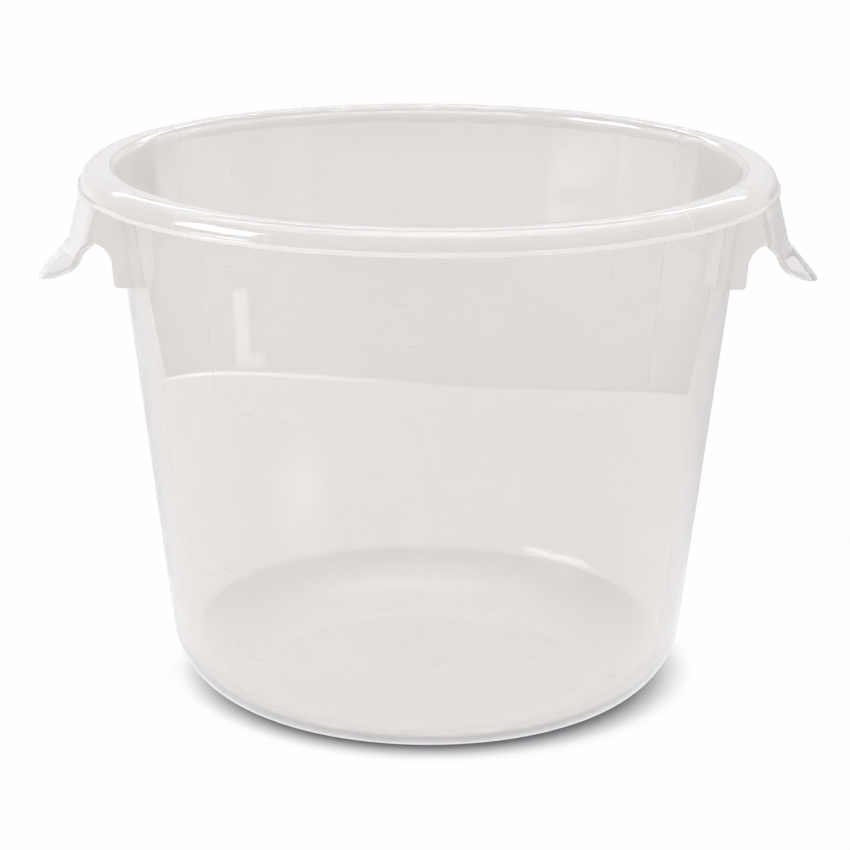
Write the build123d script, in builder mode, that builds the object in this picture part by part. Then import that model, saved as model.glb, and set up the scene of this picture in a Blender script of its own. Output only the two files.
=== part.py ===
from build123d import *
import math
import os

os.makedirs("parts", exist_ok=True)

# A round proofing tub of translucent plastic, open at the top, with two finger handles.
# Millimetres, +Z up. The origin is at the centre of the circle that the tub stands on, and
# the handles reach out along -X (left) and +X (right).
# The real tub is one moulding. Each of its features is a solid of its own here, and they
# meet face to face where the plastic runs on.

# Tub body
overall_height = 194.0
base_radius = 90.4          # where the outside of the wall, drawn on down, meets the table
wall_thickness = 2.0
heel_radius = 27.0          # round between the wall and the bottom, on the outside
floor_thickness = 2.4
floor_rise = 1.2            # the middle of the bottom stands this far off the table
foot_width = 9.0            # flat ring that the tub stands on
foot_draft = 1.0            # slope of the step from that ring up to the raised middle

# Rim
rim_radius = 124.4          # over the lip that a lid snaps under
rim_overhang = 12.3         # from the outside of the wall to the outside of the lip
rim_drop = 8.0              # from the top down to the lip's lower edge
rim_thickness = 2.2
rim_outer_round = 6.0
rim_inner_round = 2.6
rim_lean = 0.9              # the skirt leans in by this much from the lip up to the top
lip_height = 1.6
lip_stand = 0.9             # how far the lip stands out beyond the skirt
lip_bevel = 0.4

# Webs of the handles
handle_width = 94.4         # over the outsides of the two webs
web_thickness = 2.8
leg_drop = 28.0             # from the rim's lower edge down to the foot of a web
leg_depth = 10.3            # how far the foot of a web stands off the wall
leg_draft = 0.6             # the leg's edge leans out by this much up to the arch
leg_corner_round = 1.4
arch_spring = 7.6           # height of the arch's start above the foot of the web
arch_radius = 8.4

# Aprons of the handles, and the finger lips that they end in
apron_thickness = 2.4
apron_lean = 5.0            # how far the apron leans out on its way down to the bend
apron_bend_drop = 20.5      # from the rim's lower edge down to the bend
apron_bend_radius = 5.0
lip_reach = 10.3            # how far the finger lip flares out beyond the bend
lip_fall = 12.1             # and how far it falls over that reach
tongue_width = 76.0         # across the finger lip
tongue_drop = 33.8          # from the rim's lower edge down to the middle of the lip's edge
tongue_crown = 9.5          # the lip's middle hangs this much lower than its corners
tongue_round = 3.0
shoulder_drop = 13.2        # from the rim's lower edge down to where the apron narrows
neck_drop = 19.0            # and down to where it is as narrow as the finger lip
neck_round = 4.2
tongue_edge_bevel = 0.6

overrun = 3.0               # extra length of a cutting shape

# Places that follow from the sizes above
rim_underside = overall_height - rim_drop
wall_top_radius = rim_radius - rim_overhang
wall_angle = math.atan2(wall_top_radius - base_radius, rim_underside)
wall_inset = wall_thickness / math.cos(wall_angle)
skirt_radius = rim_radius - lip_stand
skirt_inner_radius = skirt_radius - rim_thickness
channel_top = overall_height - rim_thickness
floor_top = floor_rise + floor_thickness
half_handle = handle_width / 2
leg_foot = rim_underside - leg_drop
bend_radius = skirt_radius + apron_lean
bend_height = rim_underside - apron_bend_drop
lean_slope = apron_lean / apron_bend_drop
flare_slope = lip_reach / lip_fall
handle_bottom = rim_underside - max(leg_drop, tongue_drop) - overrun
level = (1, 0)


def wall_outside(height):
    """Radius of the outside of the wall at a height."""
    return base_radius + height * math.tan(wall_angle)


def wall_inside(height):
    """Radius of the inside of the wall at a height."""
    return wall_outside(height) - wall_inset


def heel_ends(wall_foot, floor_height, radius):
    """Ends of a heel round, on the level floor and on the leaning wall above it."""
    end_height = floor_height + radius - radius * math.sin(wall_angle)
    end_radius = wall_foot + end_height * math.tan(wall_angle)
    start_radius = end_radius - radius * math.cos(wall_angle)
    return (start_radius, floor_height), (end_radius, end_height)


def apron_corners(inset):
    """Top, bend and lower end of the apron's section, moved inwards by an inset."""
    lean_shift = inset * math.hypot(lean_slope, 1)
    flare_shift = inset * math.hypot(flare_slope, 1)
    bend_fall = (flare_shift - lean_shift) / (flare_slope - lean_slope)
    top = (skirt_radius - lean_shift, rim_underside)
    bend = (bend_radius - lean_shift + bend_fall * lean_slope, bend_height - bend_fall)
    low = (bend_radius - flare_shift + (bend_height - handle_bottom) * flare_slope, handle_bottom)
    return top, bend, low


def corner(sketch, point):
    """The corner of a sketch that lies at a point."""
    return sketch.vertices().sort_by_distance(point)[0]


outer_heel_start, outer_heel_end = heel_ends(base_radius, 0, heel_radius)
inner_heel_start, inner_heel_end = heel_ends(wall_inside(0), floor_top, heel_radius - floor_top)
foot_inner_radius = outer_heel_start[0] - foot_width
panel_radius = foot_inner_radius - foot_draft
channel_inner_corner = (wall_outside(channel_top), channel_top)
channel_outer_corner = (skirt_inner_radius - rim_lean, channel_top)
channel_round = rim_outer_round - rim_thickness
outer_top, outer_bend, outer_low = apron_corners(0)
inner_top, inner_bend, inner_low = apron_corners(apron_thickness)

# Base panel: the middle of the bottom, raised so that the tub stands on a ring
with BuildPart() as base_panel:
    with BuildSketch(Plane.XY.offset(floor_rise)):
        Circle(panel_radius)
    extrude(amount=floor_thickness)
base_panel.part.label = "base_panel"
export_step(base_panel.part, "parts/base_panel.step")

# Heel ring: the ring that the tub stands on, and the round up into the wall
with BuildPart() as heel_ring:
    with BuildSketch(Plane.XZ):
        with BuildLine():
            Line((panel_radius, floor_top), inner_heel_start)
            TangentArc(inner_heel_start, inner_heel_end, tangent=level)
            Polyline(
                inner_heel_end,
                (wall_inside(heel_radius), heel_radius),
                (wall_outside(heel_radius), heel_radius),
                outer_heel_end,
            )
            TangentArc(outer_heel_start, outer_heel_end, tangent=level)
            Polyline(
                outer_heel_start,
                (foot_inner_radius, 0),
                (panel_radius, floor_rise),
                (panel_radius, floor_top),
            )
        make_face()
    revolve(axis=Axis.Z)
heel_ring.part.label = "heel_ring"
export_step(heel_ring.part, "parts/heel_ring.step")

# Side wall: a cone that widens upwards, so that empty tubs nest
with BuildPart() as side_wall:
    with BuildSketch(Plane.XZ):
        with BuildLine():
            Polyline(
                (wall_inside(heel_radius), heel_radius),
                (wall_outside(heel_radius), heel_radius),
                (wall_outside(rim_underside), rim_underside),
                (wall_inside(rim_underside), rim_underside),
                close=True,
            )
        make_face()
    revolve(axis=Axis.Z)
side_wall.part.label = "side_wall"
export_step(side_wall.part, "parts/side_wall.step")

# Rim: a turned-down flange, hollow underneath, with a lip round it for a lid to snap under
rim_crown_inner = (wall_inside(overall_height), overall_height)
rim_crown_outer = (skirt_radius - rim_lean, overall_height)
lip_shoulder = (rim_radius, rim_underside + lip_height)
with BuildPart() as rim:
    with BuildSketch(Plane.XZ) as rim_section:
        with BuildLine():
            Polyline(
                (wall_inside(rim_underside), rim_underside),
                rim_crown_inner,
                rim_crown_outer,
                (skirt_radius, rim_underside + lip_height),
                lip_shoulder,
                (rim_radius, rim_underside),
                (skirt_inner_radius, rim_underside),
                channel_outer_corner,
                channel_inner_corner,
                (wall_outside(rim_underside), rim_underside),
                close=True,
            )
        make_face()
        fillet(corner(rim_section, rim_crown_inner), radius=rim_inner_round)
        fillet(corner(rim_section, rim_crown_outer), radius=rim_outer_round)
        fillet(corner(rim_section, channel_outer_corner), radius=channel_round)
        chamfer(corner(rim_section, lip_shoulder), length=lip_bevel)
    revolve(axis=Axis.Z)
rim.part.label = "rim"
export_step(rim.part, "parts/rim.step")

# Apron of the right handle: it hangs from the rim, leans out and flares into a finger lip.
# Its section is turned round the tub, and its outline is then cut as seen from the end.
tongue_side = tongue_width / 2
tongue_low = rim_underside - tongue_drop
tongue_corner = tongue_low + tongue_crown
shoulder = rim_underside - shoulder_drop
neck = rim_underside - neck_drop
with BuildPart() as right_handle_apron:
    with BuildSketch(Plane.XZ) as apron_section:
        with BuildLine():
            Polyline(outer_top, outer_bend, outer_low, inner_low, inner_bend, inner_top, close=True)
        make_face()
        fillet(corner(apron_section, outer_bend), radius=apron_bend_radius)
        fillet(corner(apron_section, inner_bend), radius=apron_bend_radius + apron_thickness)
    revolve(axis=Axis.Z)
    with BuildSketch(Plane.YZ) as tongue_outline:
        with BuildLine():
            ThreePointArc((-tongue_side, tongue_corner), (0, tongue_low), (tongue_side, tongue_corner))
            Polyline(
                (tongue_side, tongue_corner),
                (tongue_side, neck),
                (half_handle, shoulder),
                (half_handle, rim_underside + overrun),
                (-half_handle, rim_underside + overrun),
                (-half_handle, shoulder),
                (-tongue_side, neck),
                (-tongue_side, tongue_corner),
            )
        make_face()
        for side in (-tongue_side, tongue_side):
            fillet(corner(tongue_outline, (side, tongue_corner)), radius=tongue_round)
            fillet(corner(tongue_outline, (side, neck)), radius=neck_round)
    extrude(amount=outer_low[0] + overrun, mode=Mode.INTERSECT)
    lip_edges = right_handle_apron.edges().filter_by_position(Axis.Z, tongue_low, shoulder)
    lip_edges = lip_edges.filter_by(GeomType.LINE, reverse=True)
    lip_edges = lip_edges.filter_by(GeomType.CIRCLE, reverse=True)
    chamfer(lip_edges, length=tongue_edge_bevel)
right_handle_apron.part.label = "right_handle_apron"
export_step(right_handle_apron.part, "parts/right_handle_apron.step")

# Room for a web: between the wall and the apron, up into the hollow under the rim
with BuildPart() as web_room:
    with BuildSketch(Plane.XZ) as room_section:
        with BuildLine():
            Polyline(
                (wall_outside(handle_bottom), handle_bottom),
                channel_inner_corner,
                channel_outer_corner,
                (skirt_inner_radius, rim_underside),
                inner_top,
                inner_bend,
                inner_low,
                close=True,
            )
        make_face()
        fillet(corner(room_section, channel_outer_corner), radius=channel_round)
        fillet(corner(room_section, inner_bend), radius=apron_bend_radius + apron_thickness)
    revolve(axis=Axis.Z)

# Front web of the right handle: a leg down the wall, and an arch from it out to the apron.
# The plate is drawn past the room on every side, and the room cuts it to its neighbours.
wall_at_leg = math.sqrt(wall_outside(leg_foot) ** 2 - half_handle ** 2)
leg_edge = wall_at_leg + leg_depth
arch_start = (leg_edge + leg_draft, leg_foot + arch_spring)
arch_end = (arch_start[0] + arch_radius, arch_start[1] + arch_radius)
web_inner_edge = wall_at_leg - web_thickness - overrun
web_outer_edge = outer_low[0] + overrun
with BuildPart() as right_handle_front_web:
    with BuildSketch(Plane.XZ.offset(half_handle - web_thickness)) as web_outline:
        with BuildLine():
            Polyline((web_inner_edge, leg_foot), (leg_edge, leg_foot), arch_start)
            RadiusArc(arch_start, arch_end, arch_radius)
            Polyline(
                arch_end,
                (web_outer_edge, arch_end[1]),
                (web_outer_edge, overall_height),
                (web_inner_edge, overall_height),
                (web_inner_edge, leg_foot),
            )
        make_face()
        fillet(corner(web_outline, (leg_edge, leg_foot)), radius=leg_corner_round)
    extrude(amount=web_thickness)
    add(web_room.part, mode=Mode.INTERSECT)
right_handle_front_web.part.label = "right_handle_front_web"
export_step(right_handle_front_web.part, "parts/right_handle_front_web.step")

# The other web and the left handle are mirror images
with BuildPart() as right_handle_rear_web:
    mirror(right_handle_front_web.part, about=Plane.XZ)
right_handle_rear_web.part.label = "right_handle_rear_web"
export_step(right_handle_rear_web.part, "parts/right_handle_rear_web.step")

with BuildPart() as left_handle_apron:
    mirror(right_handle_apron.part, about=Plane.YZ)
left_handle_apron.part.label = "left_handle_apron"
export_step(left_handle_apron.part, "parts/left_handle_apron.step")

with BuildPart() as left_handle_front_web:
    mirror(right_handle_front_web.part, about=Plane.YZ)
left_handle_front_web.part.label = "left_handle_front_web"
export_step(left_handle_front_web.part, "parts/left_handle_front_web.step")

with BuildPart() as left_handle_rear_web:
    mirror(right_handle_rear_web.part, about=Plane.YZ)
left_handle_rear_web.part.label = "left_handle_rear_web"
export_step(left_handle_rear_web.part, "parts/left_handle_rear_web.step")
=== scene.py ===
# %% [markdown]
# # A round proofing tub of milky plastic
#
# This lesson dresses a round, open tub with two finger handles. The real one is a single
# injection moulding in natural polypropylene: pale, milky, and clear enough to see its own
# far side through the near wall. The shapes are easy, and the plastic is the hard part, so
# the lesson makes one clean closed skin first and spends its care on the material and light.
#
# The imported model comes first. It is the fixed frame that every size is measured from.

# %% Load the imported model
import math

import bmesh
import bpy
from mathutils import Matrix, Vector


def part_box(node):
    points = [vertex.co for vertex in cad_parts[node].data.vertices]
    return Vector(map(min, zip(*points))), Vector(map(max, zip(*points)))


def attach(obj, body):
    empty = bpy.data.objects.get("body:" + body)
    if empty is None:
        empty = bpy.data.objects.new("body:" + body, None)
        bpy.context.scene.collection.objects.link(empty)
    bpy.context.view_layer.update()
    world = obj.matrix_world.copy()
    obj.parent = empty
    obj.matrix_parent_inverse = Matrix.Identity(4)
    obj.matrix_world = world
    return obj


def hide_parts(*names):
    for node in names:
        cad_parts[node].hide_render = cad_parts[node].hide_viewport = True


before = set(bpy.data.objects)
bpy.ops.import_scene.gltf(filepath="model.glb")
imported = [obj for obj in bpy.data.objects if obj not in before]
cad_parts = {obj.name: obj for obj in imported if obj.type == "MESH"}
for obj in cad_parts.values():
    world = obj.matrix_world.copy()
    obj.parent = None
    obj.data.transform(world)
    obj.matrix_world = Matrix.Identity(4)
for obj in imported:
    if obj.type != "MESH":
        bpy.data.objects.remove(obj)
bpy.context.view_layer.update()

print("nodes:", ", ".join(sorted(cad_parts)))

# %% [markdown]
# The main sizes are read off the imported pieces, so the skin that is made here can't drift
# away from them. What a box can't say, such as a wall's thickness or the radius of a round,
# is a named value in millimetres times `MM`, because Blender works in metres here.

# %% Sizes of the tub and its rim
MM = 0.001
wall_foot_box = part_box("side_wall")
heel_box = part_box("heel_ring")
panel_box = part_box("base_panel")
rim_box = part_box("rim")

top_height = rim_box[1].z
rim_underside = rim_box[0].z
rim_radius = min(rim_box[1].x, rim_box[1].y)
heel_height = heel_box[1].z
wall_top_radius = wall_foot_box[1].x
wall_foot_radius = heel_box[1].x
wall_slope = (wall_top_radius - wall_foot_radius) / (rim_underside - heel_height)
floor_top = panel_box[1].z
floor_bottom = panel_box[0].z
panel_radius = panel_box[1].x

wall_thickness = 2.0 * MM
heel_radius = 27.0 * MM
foot_draft = 1.0 * MM
lip_stand = 0.9 * MM
lip_height = 1.6 * MM
rim_thickness = 2.2 * MM
rim_lean = 0.9 * MM
rim_round = 6.0 * MM
rim_inner_round = 2.6 * MM
lip_root_round = 0.35 * MM
lip_round = 0.4 * MM
lower_edge_round = 0.3 * MM
channel_round = 1.5 * MM


def wall_outside(height):
    """Radius of the wall's outside at a height."""
    return wall_foot_radius + (height - heel_height) * wall_slope


def wall_inside(height):
    """Radius of the wall's inside at a height."""
    return wall_outside(height) - wall_thickness * math.hypot(wall_slope, 1)


skirt_radius = rim_radius - lip_stand
skirt_inner_radius = skirt_radius - rim_thickness
channel_top = top_height - rim_thickness
print("rim radius", round(rim_radius, 4), "height", round(top_height, 4))
print("wall slope", round(wall_slope, 4))

# %% [markdown]
# ## The body: a section, rounded and turned
#
# Bottom, heel, wall and rim are one turned shape, so they follow a rule: a section in the
# plane of radius and height, rounded at its corners, carried once round the axis. A Spin
# would do it, but a small Geometry Nodes tree says the rule more openly, and the smoothness
# of the rounds and of the turn stay two named inputs.
#
# The section is an open line of corners, from the axis over the inside, the rim and the
# outside, back to the axis. Each corner carries its own round as a point attribute. Long
# straight stretches get a support point beside each round. Without them, smooth shading
# would bend the reflections over the whole height of the wall.
#
# Inside its foot ring the bottom stands off the table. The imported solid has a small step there.
# Here it rises in a shallow dome instead, because a step would show through the clear bottom as
# a ring, and on the real tub no ring can be seen.

# %% The section's corners
ROUND_NAME = "corner_round"
section_corners = [
    ((0, floor_top), 0),
    ((wall_inside(floor_top), floor_top), heel_radius - floor_top),
    ((wall_inside(top_height), top_height), rim_inner_round),
    ((skirt_radius - rim_lean, top_height), rim_round),
    ((skirt_radius, rim_underside + lip_height), lip_root_round),
    ((rim_radius, rim_underside + lip_height), lip_round),
    ((rim_radius, rim_underside), lower_edge_round),
    ((skirt_inner_radius, rim_underside), lower_edge_round),
    ((skirt_inner_radius - rim_lean, channel_top), rim_round - rim_thickness),
    ((wall_outside(channel_top), channel_top), channel_round),
    ((wall_outside(0), 0), heel_radius),
    ((panel_radius + foot_draft, 0), 0),
    ((0, floor_bottom), 0),
]


def with_supports(corners, gap):
    """Adds a point on each straight stretch, just past the rounds at its two ends."""
    reaches = [0]
    for (before, _), (here, size), (after, _) in zip(corners, corners[1:], corners[2:]):
        turn = (Vector(here) - Vector(before)).angle(Vector(after) - Vector(here))
        reaches.append(size * math.tan(turn / 2))
    reaches.append(0)
    line = [corners[0]]
    for i in range(len(corners) - 1):
        start, end = Vector(corners[i][0]), Vector(corners[i + 1][0])
        length = (end - start).length
        first, last = reaches[i] + gap, length - reaches[i + 1] - gap
        if last - first > 4 * gap:
            line += [(start.lerp(end, first / length), 0), (start.lerp(end, last / length), 0)]
        line.append(corners[i + 1])
    return line


def section_object(name, corners):
    """A line of edges through the corners, in the XZ plane, with the rounds as an attribute."""
    mesh = bpy.data.meshes.new(name)
    points = [(radius, 0, height) for (radius, height), _ in corners]
    edges = [(i, i + 1) for i in range(len(points) - 1)]
    mesh.from_pydata(points, edges, [])
    rounds = mesh.attributes.new(ROUND_NAME, "FLOAT", "POINT")
    rounds.data.foreach_set("value", [size for _, size in corners])
    piece = bpy.data.objects.new(name, mesh)
    bpy.context.scene.collection.objects.link(piece)
    return piece


support_gap = 0.5 * MM
body_section = section_object("body_section", with_supports(section_corners, support_gap))
print("section corners:", len(section_corners))

# %% [markdown]
# Two small classes keep node trees readable. `Wire` wraps an output socket, and ordinary
# arithmetic on it adds the Math nodes. `Tree` adds any other node: its type, its settings,
# and the values or links of its inputs. Both serve the geometry tree here and the materials
# later.

# %% Helpers for node trees


class Wire:
    """An output socket that arithmetic works on."""

    def __init__(self, tree, socket):
        self.tree = tree
        self.socket = socket

    def math(self, operation, *others, clamp=False):
        """A Math node on this wire and up to two more values."""
        settings = {"operation": operation, "use_clamp": clamp}
        return self.tree.node("ShaderNodeMath", settings, dict(enumerate((self, *others))))

    def ramp(self, start, end):
        """Goes from 0 to 1 between two values of this wire and stays level beyond them."""
        return (self - start).math("DIVIDE", end - start, clamp=True)

    def __add__(self, other):
        return self.math("ADD", other)

    def __sub__(self, other):
        return self.math("SUBTRACT", other)

    def __mul__(self, other):
        return self.math("MULTIPLY", other)

    def __truediv__(self, other):
        return self.math("DIVIDE", other)

    def __radd__(self, other):
        return self + other

    def __rmul__(self, other):
        return self * other

    def __rsub__(self, other):
        return self * -1.0 + other

    def __rtruediv__(self, other):
        return self.math("POWER", -1.0) * other


class Tree:
    """A node tree that nodes are added to by one method."""

    def __init__(self, node_tree):
        self.node_tree = node_tree

    def node(self, kind, settings=None, inputs=None, output=0):
        """Adds a node, applies its settings, plugs its inputs and gives back an output."""
        node = self.node_tree.nodes.new(kind)
        for key, value in (settings or {}).items():
            setattr(node, key, value)
        for key, value in (inputs or {}).items():
            self.plug(node.inputs[key], value)
        return Wire(self, node.outputs[output]) if node.outputs else node

    def plug(self, place, value):
        """Links a wire to an input, or sets the input's value."""
        if isinstance(value, Wire):
            self.node_tree.links.new(value.socket, place)
        else:
            place.default_value = value

    def split(self, vector):
        """The three parts of a vector."""
        first = self.node("ShaderNodeSeparateXYZ", inputs={0: vector})
        return [Wire(self, socket) for socket in first.socket.node.outputs]

    def join(self, x, y, z):
        """A vector from three parts."""
        return self.node("ShaderNodeCombineXYZ", inputs={0: x, 1: y, 2: z})

    def mix_colour(self, share, first, second):
        """A colour between two others."""
        inputs = {0: share, 6: first, 7: second}
        return self.node("ShaderNodeMix", {"data_type": "RGBA"}, inputs, output=2)


print("helpers ready")

# %% [markdown]
# The tree itself: the line of edges becomes a curve, its corners are rounded by the radius
# that each one carries, and the curve is swept along a circle. The sweep places a profile
# relative to the circle's line, so the section is moved inwards by the circle's own radius
# first. Points that meet on the axis are merged, which closes the two poles.

# %% Geometry Nodes: round the section and turn it


merge_distance = 0.01 * MM


def turning_tree():
    """A tree that rounds a section's corners and turns it round the Z axis."""
    group = bpy.data.node_groups.new("turned_section", "GeometryNodeTree")
    for name, kind in (
        ("Geometry", "NodeSocketGeometry"),
        ("Path radius", "NodeSocketFloat"),
        ("Turn steps", "NodeSocketInt"),
        ("Step length", "NodeSocketFloat"),
        ("Plastic", "NodeSocketMaterial"),
    ):
        group.interface.new_socket(name, in_out="INPUT", socket_type=kind)
    group.interface.new_socket("Geometry", in_out="OUTPUT", socket_type="NodeSocketGeometry")
    tree = Tree(group)
    given = group.nodes.new("NodeGroupInput")
    wires = [Wire(tree, given.outputs[i]) for i in range(5)]
    section, path_radius, turn_steps, step_length, plastic_input = wires
    rounds = tree.node("GeometryNodeInputNamedAttribute", {"data_type": "FLOAT"}, {"Name": ROUND_NAME})
    steps = (rounds / step_length).math("CEIL") + 2.0
    line = tree.node("GeometryNodeMeshToCurve", inputs={"Mesh": section})
    rounding = {"Curve": line, "Count": steps, "Radius": rounds, "Limit Radius": False}
    line = tree.node("GeometryNodeFilletCurve", {"mode": "POLY"}, rounding)
    radius, _, height = tree.split(tree.node("GeometryNodeInputPosition"))
    flat = tree.join(radius - path_radius, height * -1.0, 0.0)
    line = tree.node("GeometryNodeSetPosition", inputs={"Geometry": line, "Position": flat})
    circle_inputs = {"Resolution": turn_steps, "Radius": path_radius}
    circle = tree.node("GeometryNodeCurvePrimitiveCircle", inputs=circle_inputs)
    skin = tree.node("GeometryNodeCurveToMesh", inputs={"Curve": circle, "Profile Curve": line})
    merging = {"Geometry": skin, "Distance": merge_distance}
    skin = tree.node("GeometryNodeMergeByDistance", inputs=merging)
    skin = tree.node("GeometryNodeRealizeInstances", inputs={"Geometry": skin})
    skin = tree.node("GeometryNodeSetMaterial", inputs={"Geometry": skin, "Material": plastic_input})
    result = group.nodes.new("NodeGroupOutput")
    tree.plug(result.inputs[0], skin)
    return group


def apply_tree(piece, group, values):
    """Runs a geometry tree on an object and keeps the result as a plain mesh."""
    modifier = piece.modifiers.new(group.name, "NODES")
    modifier.node_group = group
    for item in group.interface.items_tree:
        if item.in_out == "INPUT" and item.name in values:
            modifier[item.identifier] = values[item.name]
    settle(piece)


def settle(piece):
    """Replaces an object's mesh with what its modifiers make of it, and removes them."""
    bpy.context.view_layer.update()
    evaluated = piece.evaluated_get(bpy.context.evaluated_depsgraph_get())
    mesh = bpy.data.meshes.new_from_object(evaluated)
    piece.modifiers.clear()
    old = piece.data
    piece.data = mesh
    bpy.data.meshes.remove(old)


def tidy_mesh(piece):
    """Merges doubles, drops loose points and points all faces outwards."""
    work = bmesh.new()
    work.from_mesh(piece.data)
    bmesh.ops.remove_doubles(work, verts=work.verts, dist=merge_distance / 2)
    loose = [vert for vert in work.verts if not vert.link_faces]
    bmesh.ops.delete(work, geom=loose, context="VERTS")
    bmesh.ops.recalc_face_normals(work, faces=work.faces)
    open_edges = sum(1 for edge in work.edges if not edge.is_manifold)
    work.to_mesh(piece.data)
    work.free()
    print(piece.name, "faces", len(piece.data.polygons), "open edges", open_edges)


plastic = bpy.data.materials.new("milky_polypropylene")
body = body_section
body.name = "tub_moulding"
turn_steps = 288
step_length = 0.7 * MM
tree_inputs = {"Path radius": wall_top_radius, "Turn steps": turn_steps, "Step length": step_length}
apply_tree(body, turning_tree(), tree_inputs | {"Plastic": plastic})
tidy_mesh(body)

# %% [markdown]
# ## The handles
#
# Each handle is an apron that hangs from the rim's skirt, leans out, and flares into a
# finger lip, with a thin web at each end that ties it to the wall. The apron is a turned
# surface cut to a tongue, so it is made as a grid: every column runs down from the rim to
# one point of the tongue's outline, and every point is then pushed out to the turned
# surface. Two such skins lie one thickness apart. A Bevel modifier could round the free
# edge, but the columns fan out there and would hold it back, so a few loops between the two
# skins follow the outline and draw the round themselves.

# %% Sizes of a handle
apron_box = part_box("right_handle_apron")
web_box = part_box("right_handle_front_web")
half_handle = apron_box[1].y
tongue_low = apron_box[0].z
leg_foot = web_box[0].z

apron_thickness = 2.4 * MM
apron_lean = 5.0 * MM
apron_bend_drop = 20.5 * MM
apron_bend_radius = 5.0 * MM
bend_softness = 0.3 * MM
lip_reach = 10.3 * MM
lip_fall = 12.1 * MM
half_tongue = 38.0 * MM
tongue_crown = 9.5 * MM
shoulder_drop = 13.2 * MM
neck_drop = 19.0 * MM
apron_root = 1.0 * MM
edge_round = 0.7 * MM
neck_round = 4.2 * MM
tongue_round = 3.0 * MM
web_thickness = 2.8 * MM
web_overlap = 0.3 * MM
leg_corner_round = 1.4 * MM
leg_depth = 10.3 * MM
leg_draft = 0.6 * MM
arch_spring = 7.6 * MM
arch_radius = 8.4 * MM
skirt_straight = 2.0 * MM
skirt_draw_in = 0.55


def apron_radius(height, inset=0):
    """Radius of the apron's skin at a height: two straight stretches and a soft bend."""
    drop = rim_underside - height
    lean = apron_lean / apron_bend_drop
    flare = lip_reach / lip_fall
    leaning = skirt_radius + drop * lean - inset * math.hypot(lean, 1)
    past_bend = drop - apron_bend_drop
    flaring = skirt_radius + apron_lean + past_bend * flare - inset * math.hypot(flare, 1)
    softness = bend_softness * (1 + inset / apron_bend_radius)
    return (leaning + flaring) / 2 + math.hypot((leaning - flaring) / 2, softness)


def rounded_line(corners, steps=6):
    """Points along a line of flat corners, each ((x, y), radius), with its corners rounded."""
    points = []
    for i, (corner, radius) in enumerate(corners):
        here = Vector(corner)
        if radius == 0 or i in (0, len(corners) - 1):
            points.append(here)
            continue
        back = (Vector(corners[i - 1][0]) - here).normalized()
        ahead = (Vector(corners[i + 1][0]) - here).normalized()
        half = back.angle(ahead) / 2
        reach = radius / math.tan(half)
        centre = here + (back + ahead).normalized() * (radius / math.sin(half))
        start = here + back * reach - centre
        end = here + ahead * reach - centre
        turn = start.angle_signed(end)
        for step in range(steps + 1):
            points.append(centre + Matrix.Rotation(-turn * step / steps, 2) @ start)
    return points


def spread(points, count):
    """Evenly spaced points along a line of points."""
    lengths = [(b - a).length for a, b in zip(points, points[1:])]
    total = sum(lengths)
    result = []
    at = 0
    passed = 0
    for i in range(count):
        target = total * i / (count - 1)
        while at < len(lengths) - 1 and passed + lengths[at] < target:
            passed += lengths[at]
            at += 1
        share = (target - passed) / lengths[at]
        result.append(points[at].lerp(points[at + 1], min(share, 1)))
    return result


print("half handle", round(half_handle, 4), "tongue low", round(tongue_low, 4))
print("leg foot", round(leg_foot, 4))

# %% The apron


def link_mesh(name, points, faces):
    """A new object in the scene from points and faces."""
    mesh = bpy.data.meshes.new(name)
    mesh.from_pydata(points, [], faces)
    piece = bpy.data.objects.new(name, mesh)
    bpy.context.scene.collection.objects.link(piece)
    return piece


def tongue_outline(columns):
    """The apron's free edge as seen from its end, from shoulder to shoulder."""
    shoulder = rim_underside - shoulder_drop
    neck = rim_underside - neck_drop
    corner = tongue_low + tongue_crown
    arc_radius = (half_tongue ** 2 + tongue_crown ** 2) / (2 * tongue_crown)
    arc_half_angle = math.asin(half_tongue / arc_radius)
    arc_steps = 24
    arc = []
    for step in range(1, arc_steps):
        angle = arc_half_angle * (2 * step / arc_steps - 1)
        arc.append(((arc_radius * math.sin(angle), tongue_low + arc_radius * (1 - math.cos(angle))), 0))
    corners = [((-half_handle, shoulder), 0), ((-half_tongue, neck), neck_round)]
    corners += [((-half_tongue, corner), tongue_round)] + arc + [((half_tongue, corner), tongue_round)]
    corners += [((half_tongue, neck), neck_round), ((half_handle, shoulder), 0)]
    return spread(rounded_line(corners), columns)


def drawn_in(line, distance):
    """A line of flat points moved sideways, to its left, by a distance."""
    moved = []
    for i, here in enumerate(line):
        before = here - line[i - 1] if i > 0 else line[1] - here
        after = line[i + 1] - here if i < len(line) - 1 else before
        first = Vector((-before.y, before.x)).normalized()
        second = Vector((-after.y, after.x)).normalized()
        moved.append(here + (first + second) * (distance / (1 + first.dot(second))))
    return moved


def edge_loops():
    """Depth in the thickness and distance drawn in, for each loop round the free edge."""
    round_steps = 3
    loops = []
    for step in range(round_steps + 1):
        angle = math.pi / 2 * step / round_steps
        loops.append((edge_round * (1 - math.cos(angle)), edge_round * (1 - math.sin(angle))))
    return loops + [(apron_thickness - depth, inwards) for depth, inwards in reversed(loops)]


print("loops round the free edge:", len(edge_loops()))

# %% The apron's mesh


def apron_border(columns, rows):
    """The apron's outline below the rim: down one side, round the tongue and up the other."""
    top = rim_underside + apron_root
    shoulder = rim_underside - shoulder_drop
    steps = range(rows - 1)
    side = [Vector((-half_handle, top + (shoulder - top) * step / (rows - 1))) for step in steps]
    other_side = [Vector((-point.x, point.y)) for point in reversed(side)]
    return side + tongue_outline(columns) + other_side


def add_points(points, line, depth):
    """Adds a flat line's points, pushed out to the apron's skin, and gives their numbers."""
    first = len(points)
    for flat in line:
        points.append((math.sqrt(apron_radius(flat.y, depth) ** 2 - flat.x ** 2), flat.x, flat.y))
    return list(range(first, len(points)))


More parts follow.
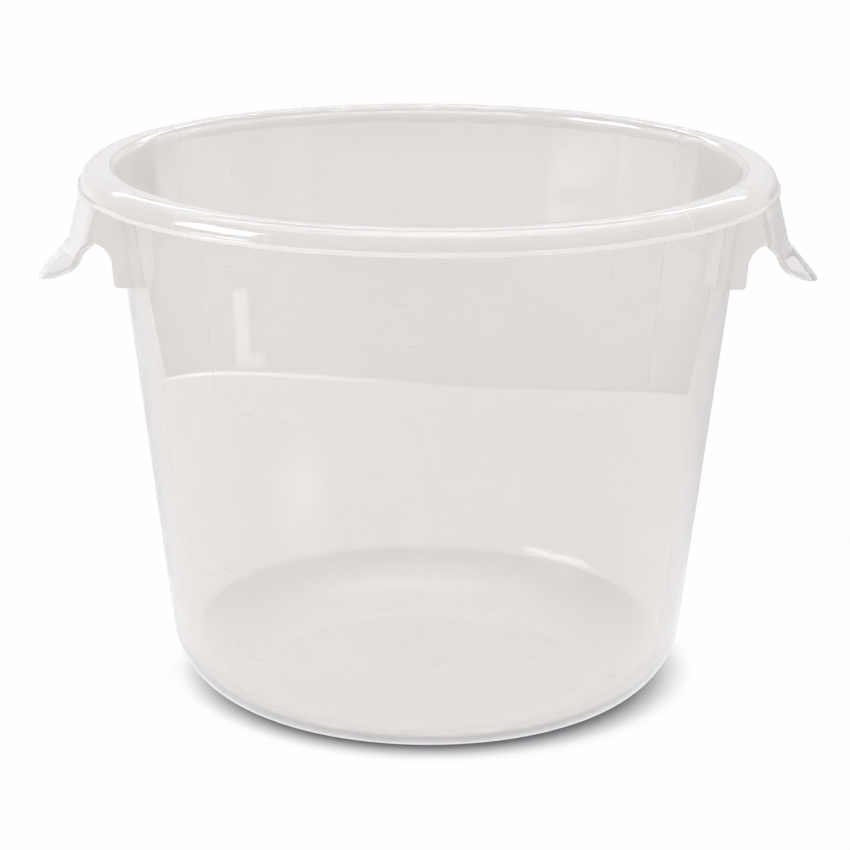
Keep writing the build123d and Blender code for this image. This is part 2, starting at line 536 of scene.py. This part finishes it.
def strip_faces(first, second):
    """The faces between two lines of point numbers."""
    return [(first[k], first[k + 1], second[k + 1], second[k]) for k in range(len(first) - 1)]


def apron_sheet(points, border, edge_loop, depth, columns, rows):
    """One face of the apron: columns of points from the rim down to the free edge."""
    free_edge = drawn_in(border, edge_round)
    half_top = half_handle - edge_round
    top = rim_underside + apron_root
    grid = []
    for i in range(columns):
        high = Vector((half_top * (2 * i / (columns - 1) - 1), top))
        low = free_edge[rows - 1 + i]
        line = [high.lerp(low, j / (rows - 1)) for j in range(rows - 1)]
        grid.append(add_points(points, line, depth) + [edge_loop[rows - 1 + i]])
    grid[0][:rows] = edge_loop[:rows]
    grid[-1][:rows] = edge_loop[:-rows - 1:-1]
    return grid


def make_apron(name):
    """The right handle's apron and finger lip as a closed mesh."""
    columns = 121
    rows = 33
    border = apron_border(columns, rows)
    points = []
    loops = [add_points(points, drawn_in(border, inwards), depth) for depth, inwards in edge_loops()]
    faces = []
    for first, second in zip(loops, loops[1:]):
        faces += strip_faces(first, second)
    tops = []
    for depth, edge_loop in ((0, loops[0]), (apron_thickness, loops[-1])):
        grid = apron_sheet(points, border, edge_loop, depth, columns, rows)
        for first, second in zip(grid, grid[1:]):
            faces += strip_faces(first, second)
        tops.append([column[0] for column in grid])
    ends = [loop[0] for loop in loops[1:-1]]
    other_ends = [loop[-1] for loop in loops[1:-1]]
    faces.append(tuple(tops[0] + other_ends + tops[1][::-1] + ends[::-1]))
    apron = link_mesh(name, points, faces)
    tidy_mesh(apron)
    return apron


right_apron = make_apron("right_apron")
apron_size = [round(side / MM, 2) for side in right_apron.dimensions]
print("apron size in mm:", apron_size)

# %% [markdown]
# A web is a flat plate. Its outline runs down the leg, round the arch and out to the apron,
# and its hidden sides stop halfway into the wall, the skirt and the apron, so that the union
# below has real plastic to join.

# %% The webs


def web_outline():
    """The web's outline in the plane of X and Z."""
    middle = half_handle - web_thickness / 2
    web_top = channel_top + web_overlap
    steps = 24

    def at_plate(plate_radius):
        return math.sqrt(plate_radius * plate_radius - middle * middle)

    wall_line = []
    for step in range(steps + 1):
        height = leg_foot + (web_top - leg_foot) * step / steps
        wall_line.append((at_plate(wall_outside(height) - wall_thickness / 2), height))
    leg_edge = math.sqrt(wall_outside(leg_foot) ** 2 - half_handle ** 2) + leg_depth
    arch_centre = (leg_edge + leg_draft + arch_radius, leg_foot + arch_spring)
    leg_top = (leg_edge + leg_draft, arch_centre[1])
    leg = rounded_line([(wall_line[0], 0), ((leg_edge, leg_foot), leg_corner_round), (leg_top, 0)])
    arch = []
    arch_steps = 16
    for step in range(1, arch_steps + 1):
        angle = math.pi - math.pi / 2 * step / arch_steps
        x = arch_centre[0] + arch_radius * math.cos(angle)
        z = arch_centre[1] + arch_radius * math.sin(angle)
        if x < at_plate(apron_radius(z, apron_thickness / 2)):
            arch.append((x, z))
    arch_top = arch_centre[1] + arch_radius
    apron_line = []
    for step in range(steps + 1):
        height = arch_top + (web_top - arch_top) * step / steps
        edge = apron_radius(min(height, rim_underside), apron_thickness / 2)
        edge -= max(0, height - rim_underside - skirt_straight) * skirt_draw_in
        apron_line.append((at_plate(edge), height))
    return [tuple(p) for p in leg] + arch + apron_line + wall_line[:0:-1]


def make_web(name):
    """The right handle's front web as a closed plate."""
    outline = web_outline()
    points = [(x, -half_handle, z) for x, z in outline]
    points += [(x, -half_handle + web_thickness, z) for x, z in outline]
    count = len(outline)
    faces = [tuple(range(count)), tuple(range(2 * count - 1, count - 1, -1))]
    for i in range(count):
        j = (i + 1) % count
        faces.append((i, i + count, j + count, j))
    web = link_mesh(name, points, faces)
    tidy_mesh(web)
    return web


right_front_web = make_web("right_front_web")


def mirrored(piece, axis, name):
    """A copy of a piece mirrored across the plane through the origin and square to an axis."""
    copy = bpy.data.objects.new(name, piece.data.copy())
    bpy.context.scene.collection.objects.link(copy)
    scale = [1, 1, 1]
    scale[axis] = -1
    copy.data.transform(Matrix.Diagonal((*scale, 1)))
    tidy_mesh(copy)
    return copy


right_rear_web = mirrored(right_front_web, 1, "right_rear_web")
left_apron = mirrored(right_apron, 0, "left_apron")
left_front_web = mirrored(right_front_web, 0, "left_front_web")
left_rear_web = mirrored(right_rear_web, 0, "left_rear_web")
handle_pieces = [right_apron, right_front_web, right_rear_web]
handle_pieces += [left_apron, left_front_web, left_rear_web]

# %% [markdown]
# ## One moulding
#
# In clear plastic a hidden wall between two pieces would show as a bright line, so the
# handles are not laid against the tub but united with it: one closed skin, as it left the
# mould.

# %% Unite the tub and its handles
for handle_piece in handle_pieces:
    union = body.modifiers.new("union", "BOOLEAN")
    union.operation = "UNION"
    union.object = handle_piece
    union.solver = "MANIFOLD"
    settle(body)
for handle_piece in handle_pieces:
    bpy.data.objects.remove(handle_piece)
tidy_mesh(body)
body.data.shade_smooth()
sharp_angle = math.radians(38)
body.data.set_sharp_from_angle(angle=sharp_angle)

# %% [markdown]
# ## Milky polypropylene
#
# Natural polypropylene is milky: fine crystals in it scatter a part of the light, and the rest
# goes straight through, which is why the far side shows, but pale and low in contrast. Subsurface
# scattering could do this, but in a wall of two millimetres it is slow and grainy. Here a Mix
# Shader splits the light between a clear, glossy Principled shader and milk, a Translucent
# shader that takes its light from behind, with some Diffuse on the outside.
#
# The cell below measures where a point of the surface is: its radius, its turn round the axis,
# how far it stands out beyond the wall, and whether it is on the inside or in the rim. All of
# it comes from Object coordinates, so the pattern is fixed to the tub.

# %% Where on the tub
plastic.use_nodes = True
plastic_tree = Tree(plastic.node_tree)
shader = plastic.node_tree.nodes["Principled BSDF"]
x, y, z = plastic_tree.split(plastic_tree.node("ShaderNodeTexCoord", output="Object"))
place = plastic_tree.join(x, y, z)
radius = (x * x + y * y).math("SQRT")
turn_angle = y.math("ARCTAN2", x)
wall_middle = z * wall_slope + (wall_outside(0) - wall_thickness / 2)
inside = (wall_middle - radius).ramp(-0.15 * MM, 0.15 * MM)
past_wall = radius - wall_middle - wall_thickness / 2
beyond_wall = past_wall.ramp(0.04 * MM, 0.16 * MM)
in_rim = z.ramp(rim_underside - 5.0 * MM, rim_underside - 3.0 * MM)
print("wall middle at the foot:", round(wall_outside(0) - wall_thickness / 2, 4))

# %% [markdown]
# A moulding's surface is never even. The outside has a soft gloss from a polished mould and the
# inside is a little duller. Over both go a slow cloudiness, a fine orange peel, faint flow lines
# that rise from the gate in the bottom, a few hairline scuffs, and the witness lines of the
# mould's side slides, which run up the wall beside the handles. They are too fine to be worth
# geometry, so a Bump node draws them.

# %% Cloudiness, flow lines, scuffs and witness lines


def noise(scale, detail, vector, distortion=0.0):
    """Fractal noise from 0 to 1."""
    inputs = {"Vector": vector, "Scale": scale, "Detail": detail, "Distortion": distortion}
    return plastic_tree.node("ShaderNodeTexNoise", inputs=inputs)


cloud = noise(16.0, 3.0, place)
peel = noise(420.0, 2.0, place)
flow = noise(1.0, 2.0, plastic_tree.join(turn_angle * 26.0, radius * 24.0, z * 9.0), 0.6)
hairline = noise(1.0, 2.0, plastic_tree.join(turn_angle * 7.0, radius * 40.0, z * 1100.0))
scuffs = hairline.ramp(0.70, 0.77) * noise(22.0, 2.0, place).ramp(0.58, 0.69)

slide_turn = math.radians(46.5)
slide_foot = 131.0 * MM
witness_width = 0.22 * MM
quarter_turn = y.math("ABSOLUTE").math("ARCTAN2", x.math("ABSOLUTE"))
from_slide = ((quarter_turn - slide_turn) * radius).math("ABSOLUTE")
witness = from_slide.ramp(witness_width, 0.0) * z.math("GREATER_THAN", slide_foot) * (1.0 - inside)
print("witness lines at", round(math.degrees(slide_turn), 1), "degrees from the handles")

# %% The clear share: colour, gloss and relief
base_colour = plastic_tree.mix_colour(cloud, (0.985, 0.975, 0.968, 1), (0.997, 0.992, 0.988, 1))
marks = (scuffs * 0.4 + witness * 0.5).math("MINIMUM", 1.0)
base_colour = plastic_tree.mix_colour(marks, base_colour, (0.99, 0.985, 0.98, 1))
gloss = 0.012 + cloud * 0.014 + inside * 0.03 + scuffs * 0.1
relief = (peel * 0.05 + flow * 0.2) * (1.0 - in_rim * 0.8) + witness * 1.2 - scuffs * 0.15
relief_depth = 0.05 * MM
bump_inputs = {"Strength": 0.25, "Distance": relief_depth, "Height": relief}
bump = plastic_tree.node("ShaderNodeBump", inputs=bump_inputs, output="Normal")
plastic_tree.plug(shader.inputs["Base Color"], base_colour)
plastic_tree.plug(shader.inputs["Roughness"], gloss)
plastic_tree.plug(shader.inputs["Normal"], bump)
shader.inputs["IOR"].default_value = 1.49
shader.inputs["Transmission Weight"].default_value = 0.88
print("index of refraction:", round(shader.inputs["IOR"].default_value, 2))

# %% [markdown]
# How milky the plastic looks depends on how much of it the light crosses. The wall is thin and
# nearly clear. Rim, aprons and webs are seen on edge and look whiter, most of all the small lip
# round the rim and the roots of the webs. This also helps the render: light that is caught
# between the two faces of a clear plate is lost after a few bounces, and would leave black lines
# there that the real tub doesn't have.

# %% The share of milk
milk_colour = (0.985, 0.972, 0.966, 1)
wall_milk = 0.12
edge_milk = 0.36
rim_milk = 0.40
lip_milk = 0.52
side_milk = 0.30
root_milk = 0.80
front_share = 0.36
lip_front_share = 0.3

web_root = beyond_wall * past_wall.ramp(3.4 * MM, 2.4 * MM) * (1.0 - in_rim)
lip_top = rim_underside + lip_height
on_lip = radius.ramp(skirt_radius, skirt_radius + 0.5 * MM) * z.ramp(lip_top + 0.3 * MM, lip_top)
on_lip = on_lip * beyond_wall * in_rim * y.math("ABSOLUTE").ramp(half_handle, half_handle + 3.0 * MM)
behind_handle = x.math("ABSOLUTE").ramp(92.0 * MM, 102.0 * MM) * z.ramp(150.0 * MM, 162.0 * MM)

milk_share = wall_milk + beyond_wall * (edge_milk - wall_milk)
milk_share = milk_share + beyond_wall * in_rim * (rim_milk - edge_milk)
milk_share = milk_share + behind_handle * (1.0 - beyond_wall) * (side_milk - wall_milk)
milk_share = milk_share + web_root * (root_milk - edge_milk) + on_lip * (lip_milk - rim_milk)
milk_share = milk_share + (witness * 0.4 + scuffs * 0.3) * (1.0 - in_rim * 0.6)
print("milk in the wall:", wall_milk, "and at the roots of the webs:", root_milk)

# %% Mix the clear share and the milk
milk_inputs = {"Color": milk_colour, "Normal": bump}
milk_behind = plastic_tree.node("ShaderNodeBsdfTranslucent", inputs=milk_inputs)
milk_front = plastic_tree.node("ShaderNodeBsdfDiffuse", inputs=milk_inputs)
milk_mix = {0: beyond_wall * front_share + on_lip * lip_front_share, 1: milk_behind, 2: milk_front}
milk = plastic_tree.node("ShaderNodeMixShader", inputs=milk_mix)
clear = Wire(plastic_tree, shader.outputs[0])
skin = plastic_tree.node("ShaderNodeMixShader", inputs={0: milk_share, 1: clear, 2: milk})
plastic_tree.plug(plastic.node_tree.nodes["Material Output"].inputs["Surface"], skin)
body.data.materials.clear()
body.data.materials.append(plastic)
print("plastic nodes:", len(plastic.node_tree.nodes))

# %% [markdown]
# ## The studio
#
# The photograph was cut out: the room that shows through the plastic is a light warm grey, while
# everything round the tub was whitened afterwards. A Light Path node tells the kinds of rays
# apart, so the floor can be four things at once. A camera ray sees white paper with the tub's
# contact shadow. A ray that went through the plastic sees warm grey. A mirrored ray sees a table
# with a dark room behind it. All other rays, which light the tub, see plain pale paper.
#
# Highlights and dark bands on clear plastic are nothing but mirrored things, so they are made by
# what mirrored rays see, and no light is added to the object for them.

# %% The floor and the kinds of rays
half_floor = 4.0
floor_points = [(-half_floor, -half_floor, 0), (half_floor, -half_floor, 0)]
floor_points += [(half_floor, half_floor, 0), (-half_floor, half_floor, 0)]
studio_floor = link_mesh("studio_floor", floor_points, [(0, 1, 2, 3)])
floor_paper = bpy.data.materials.new("floor_paper")
floor_paper.use_nodes = True
floor_paper.node_tree.nodes.clear()
floor_tree = Tree(floor_paper.node_tree)
x, y, z = floor_tree.split(floor_tree.node("ShaderNodeTexCoord", output="Object"))


def ray_kinds(tree):
    """Wires that are 1 for a camera, mirrored or passed ray, and counts of mirrors and passes."""
    first = tree.node("ShaderNodeLightPath")
    outputs = first.socket.node.outputs
    names = ["Is " + kind + " Ray" for kind in ("Camera", "Glossy", "Transmission")]
    names += ["Glossy Depth", "Transmission Depth"]
    from_camera, glossy, through, mirrors, passes = (Wire(tree, outputs[name]) for name in names)
    return from_camera, glossy * (1.0 - through), through, mirrors, passes


def distance_from(x_wire, y_wire, middle):
    """The distance from a point of the floor."""
    across, along = x_wire - middle[0], y_wire - middle[1]
    return (across * across + along * along).math("SQRT")


def soft_patch(first, first_range, first_edge, second, second_range, second_edge):
    """A wire that is 1 inside a rectangle of two measures and fades over its edges."""

    def depth(wire, low, high, edge):
        return ((high - low) / 2 - (wire - (low + high) / 2).math("ABSOLUTE")) / edge

    second_depth = depth(second, *second_range, second_edge)
    return depth(first, *first_range, first_edge).math("MINIMUM", second_depth).ramp(-0.5, 0.5)


paper_white = 0.991
is_camera, is_mirrored, is_through, _, _ = ray_kinds(floor_tree)
print("floor side:", 2 * half_floor, "m")

# %% [markdown]
# The near wall leans outwards on its way up, so it mirrors the table in front of it, and where
# the table ends it mirrors the darker room. That end draws the cooler band below the rim, and
# a bright edge on the table draws the line under the band. A window's frame that lies across
# the table's end gives the upright highlight at the left of the band, and a pale spot gives the
# soft gleam lower down.

# %% What mirrored rays see on the floor
table_radius = 380.0 * MM
table_middle = (-8.0 * MM, 14.0 * MM)
edge_width = 3.0 * MM
table_front = 300.0 * MM
backdrop_apex = 396.0 * MM
backdrop_slant = 1.5
backdrop_softness = 20.0 * MM
past_edge = distance_from(x, y, table_middle) - table_radius
backdrop_edge = y - x.math("ABSOLUTE") * backdrop_slant + backdrop_apex
backdrop_edge = backdrop_edge.math("MINIMUM", y + table_front) / backdrop_softness
on_table = (past_edge / -edge_width).math("MAXIMUM", backdrop_edge).ramp(-0.5, 0.5)
to_the_back = y.ramp(0.0, 0.2)
table_level = 1.25 - to_the_back * (x * 0.5 + 0.42)
dark_level = x.math("ABSOLUTE") * 0.5 + 0.08
mirrored_floor = dark_level + on_table * (table_level - dark_level)
edge_line = past_edge.math("ABSOLUTE").ramp(edge_width, 0.0) * (1.0 - to_the_back)
edge_level = (x * -14.0).math("MINIMUM", 3.5).math("MAXIMUM", -0.6)
mirrored_floor = mirrored_floor + edge_line * edge_level

from_left = (y * -1.0).math("ARCTAN2", x * -1.0) / math.radians(1.0)
from_middle = distance_from(x, y, (0.0, 0.0)) / MM
frame_post = soft_patch(from_left, (20.0, 26.0), 2.4, from_middle, (392.0, 472.0), 9.0)
frame_sill = soft_patch(from_left, (20.0, 32.0), 2.4, from_middle, (388.0, 401.0), 9.0)
frame_level = 2.0
window_frame = frame_post.math("MAXIMUM", frame_sill * 0.7)
mirrored_floor = mirrored_floor + window_frame * frame_level

spot_middle = (-185.0 * MM, -195.0 * MM)
spot_radius = 60.0 * MM
spot_level = 1.2
spot = distance_from(x, y, spot_middle).ramp(spot_radius, 0.0)
mirrored_floor = mirrored_floor + spot * spot_level
print("table radius:", table_radius, "m")

# %% [markdown]
# The contact shadow could come from the lamps, but light through clear plastic is slow to settle
# and the shadow would stay grainy. An Ambient Occlusion node darkens the paper where the tub
# covers the sky over it. Its normal leans to the front, so that the shadow reaches further
# there, as it does in the photograph.

# %% The contact shadow
shadow_reach = 32.0 * MM
shadow_openness = (0.235, 0.635)
lean = (-0.15, -0.6, 1.0)
white_paper = (paper_white, paper_white, paper_white, 1)
dark_paper = (0.10, 0.105, 0.115, 1)
tilted = floor_tree.node("ShaderNodeVectorMath", {"operation": "NORMALIZE"}, {0: lean})
occlusion = {"Distance": shadow_reach, "Normal": tilted}
openness = floor_tree.node("ShaderNodeAmbientOcclusion", {"samples": 16}, occlusion, output="AO")
seen_floor = floor_tree.mix_colour(openness.ramp(*shadow_openness), dark_paper, white_paper)
print("contact shadow reaches", shadow_reach, "m")

# %% [markdown]
# Through the plastic the floor is warm grey, a little lighter close to the tub. Behind the heel
# lies the tub's own soft shadow. It is painted as the back half of a disc that fades inwards,
# for rays through the plastic only.

# %% What is seen through the plastic
floor_through = (0.83, 0.795, 0.778, 1)
near_through = (0.90, 0.862, 0.845, 1)
near_floor = 120.0 * MM
far_floor = 420.0 * MM
shadow_through = (0.60, 0.565, 0.555, 1)
shadow_middle = (0.0, 58.0 * MM)
shadow_radius = 90.0 * MM
shadow_fade = 42.0 * MM
past_shadow = distance_from(x, y, shadow_middle) - shadow_radius
cast_shadow = past_shadow.ramp(2.0 * MM, -2.0 * MM) * past_shadow.ramp(-shadow_fade, 0.0)
cast_shadow = cast_shadow * y.ramp(10.0 * MM, 80.0 * MM)
through_floor = floor_tree.mix_colour(y.ramp(far_floor, near_floor), floor_through, near_through)
through_floor = floor_tree.mix_colour(cast_shadow, through_floor, shadow_through)
print("shadow through the plastic:", shadow_radius, "m in radius")

# %% Put the floor together
seen_floor = floor_tree.mix_colour(is_through, seen_floor, through_floor)
mirror_colour = floor_tree.join(mirrored_floor, mirrored_floor, mirrored_floor * 1.02)
seen_floor = floor_tree.mix_colour(is_mirrored, seen_floor, mirror_colour)
seen = floor_tree.node("ShaderNodeEmission", inputs={"Color": seen_floor, "Strength": 1.0})
lit = floor_tree.node("ShaderNodeBsdfDiffuse", inputs={"Color": (0.9, 0.9, 0.9, 1)})
is_looking = (is_camera + is_mirrored + is_through).math("MINIMUM", 1.0)
floor_look = floor_tree.node("ShaderNodeMixShader", inputs={0: is_looking, 1: lit, 2: seen})
floor_tree.node("ShaderNodeOutputMaterial", inputs={"Surface": floor_look})
studio_floor.data.materials.append(floor_paper)
print("floor nodes:", len(floor_paper.node_tree.nodes))

# %% [markdown]
# The room is a world with the same kinds of rays. Camera rays see paper white, and the light
# that falls on the tub is an even white. Mirrored rays see a room that is pale behind and
# overhead and darker in front, with three strip lamps across the ceiling that draw the long
# lines on the rim, and a window at the left that draws the bright patch there. A clear surface
# mirrors only about four hundredths of what it faces, so these are made many times brighter
# than white. A low window gives the streak in the far heel. Only light that was mirrored and
# passed the near wall on its way in and out sees it.

# %% What mirrored rays see in the room
world = bpy.data.worlds.new("studio_room")
bpy.context.scene.world = world
world.use_nodes = True
world_tree = Tree(world.node_tree)
background = world.node_tree.nodes["Background"]
x, y, z = world_tree.split(world_tree.node("ShaderNodeTexCoord", output="Generated"))
is_camera, is_mirrored, _, mirrors, passes = ray_kinds(world_tree)
behind = (y - x.math("ABSOLUTE") * 0.6).ramp(-0.05, 0.05)
overhead = z.ramp(0.35, 0.975)
front_level = 0.3
pale_level = 0.6
mirrored_room = behind.math("MAXIMUM", overhead * 0.8) * pale_level + front_level

strip_turns = (84.0, 116.0, 150.0)
half_strip = math.radians(2.6)
strip_level = 9.0
turn_over = z.math("ARCTAN2", y * -1.0)
strip_length = x.math("ABSOLUTE").ramp(0.65, 0.35) * passes.ramp(1.0, 0.0)
for strip_turn in strip_turns:
    from_strip = (turn_over - math.radians(strip_turn)).math("ABSOLUTE")
    strip = from_strip.ramp(half_strip, half_strip / 2) * strip_length
    mirrored_room = mirrored_room + strip * strip_level

window_level = 13.0
window_turn = (x * -1.0).math("ARCTAN2", y * -1.0) / math.radians(1.0)
window = soft_patch(window_turn, (60.0, 90.0), 4.0, z, (0.16, 0.56), 0.06)
mirrored_room = mirrored_room + window * window_level
print("strip lamps:", len(strip_turns))

# %% Put the room together
room_light = 1.14
low_window_level = 9.0
low_window = soft_patch(window_turn, (50.0, 84.0), 4.0, z, (0.0, 0.18), 0.03)
low_window = low_window * mirrors.ramp(0.0, 1.0) * passes.ramp(3.0, 4.0)
level = room_light + low_window * low_window_level
level = level + is_mirrored * (mirrored_room - level)
level = level + is_camera * (paper_white - level)
world_tree.plug(background.inputs["Color"], world_tree.join(level, level, level))
print("room nodes:", len(world.node_tree.nodes))

# %% [markdown]
# Two soft boxes finish the light: a large one overhead and a smaller one at the left. They stay
# at a plain level and only give the milk some shape.

# %% The lamps


def soft_box(name, position, target, width, height, brightness):
    """A rectangular lamp that looks at a target, by the brightness of its face."""
    lamp = bpy.data.lights.new(name, "AREA")
    lamp.shape = "RECTANGLE"
    lamp.size = width
    lamp.size_y = height
    lamp.energy = brightness * math.pi * width * height
    holder = bpy.data.objects.new(name, lamp)
    holder.location = position
    holder.rotation_euler = (Vector(target) - Vector(position)).to_track_quat("-Z", "Y").to_euler()
    bpy.context.scene.collection.objects.link(holder)
    return holder


rim_centre = (0, 0, top_height)
soft_box("overhead_box", (0.15, 0.25, 1.5), rim_centre, 0.9, 0.7, 1.4)
soft_box("left_box", (-1.11, -0.36, 0.58), rim_centre, 0.6, 0.36, 2.4)

# %% [markdown]
# The camera looks down by about sixteen degrees with a long lens, as the photograph does.

# %% The camera
camera_distance = 1032.3 * MM
camera_height = 390.0 * MM
camera_pitch = 0.2775
camera_roll = 0.0063
camera_side = 0.0161
focal_pixels = 2945.0
frame_pixels = 850.0
centre_pixel = 427.52
camera_data = bpy.data.cameras.new("photo_camera")
camera_data.sensor_width = 36.0
camera_data.lens = focal_pixels / frame_pixels * camera_data.sensor_width
camera = bpy.data.objects.new("photo_camera", camera_data)
bpy.context.scene.collection.objects.link(camera)
yaw = camera_side - math.atan2(centre_pixel - frame_pixels / 2, focal_pixels)
flat = math.cos(camera_pitch)
look = Vector((math.sin(yaw) * flat, math.cos(yaw) * flat, -math.sin(camera_pitch)))
right = look.cross(Vector((0, 0, 1))).normalized()
up = right.cross(look)
rolled_right = right * math.cos(camera_roll) + up * math.sin(camera_roll)
rolled_up = up * math.cos(camera_roll) - right * math.sin(camera_roll)
stand = Vector((-math.sin(camera_side), -math.cos(camera_side), 0)) * camera_distance
stand.z = camera_height
frame_turn = Matrix((rolled_right, rolled_up, -look)).transposed()
camera.matrix_world = Matrix.Translation(stand) @ frame_turn.to_4x4()
bpy.context.scene.camera = camera
bpy.context.scene.view_settings.view_transform = "Standard"
print("lens", round(camera_data.lens, 1), "mm, stand", [round(part, 3) for part in stand])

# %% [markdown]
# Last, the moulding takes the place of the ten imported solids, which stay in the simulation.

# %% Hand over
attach(body, "root")
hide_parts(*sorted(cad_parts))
